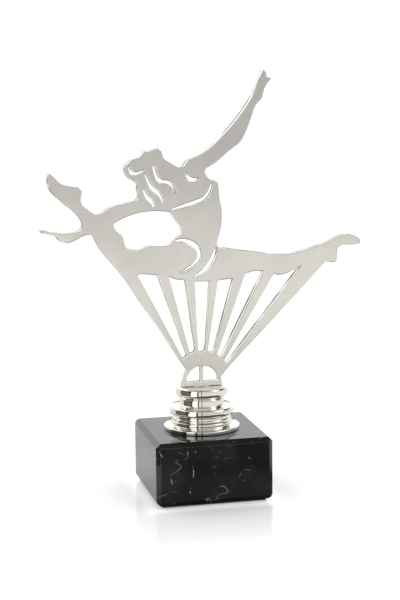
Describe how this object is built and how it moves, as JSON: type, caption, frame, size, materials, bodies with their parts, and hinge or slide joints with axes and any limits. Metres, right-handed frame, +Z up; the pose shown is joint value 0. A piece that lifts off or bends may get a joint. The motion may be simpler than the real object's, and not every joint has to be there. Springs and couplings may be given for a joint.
{
  "type": "gymnast figure trophy",
  "caption": "Flat cast gymnast silhouette on a fan of struts, standing on stacked turned collars and a polished black stone block.",
  "frame": {"origin": "on the threaded rod's axis, in the plane the trophy stands on", "axes": "+Z up, +X towards the figure's rear leg, in the plane of the cast plate, -Y out of the front"},
  "size_m": [0.1555, 0.056, 0.2011],
  "materials": {
    "figure": "bead-blasted silver face, mirror-polished edges",
    "collars": "polished nickel",
    "stone": "polished black marble with sparse pale veins",
    "felt": "pressed felt",
    "fasteners": "zinc plated"
  },
  "bodies": {
    "root": {"felt_pad": "felt", "marble_base": "stone", "bottom_collar": "collars", "middle_collar": "collars", "top_collar": "collars", "gymnast_figure": "figure", "threaded_rod": "fasteners", "flat_washer": "fasteners", "spring_washer": "fasteners", "hex_nut": "fasteners"}
  },
  "joints": []
}
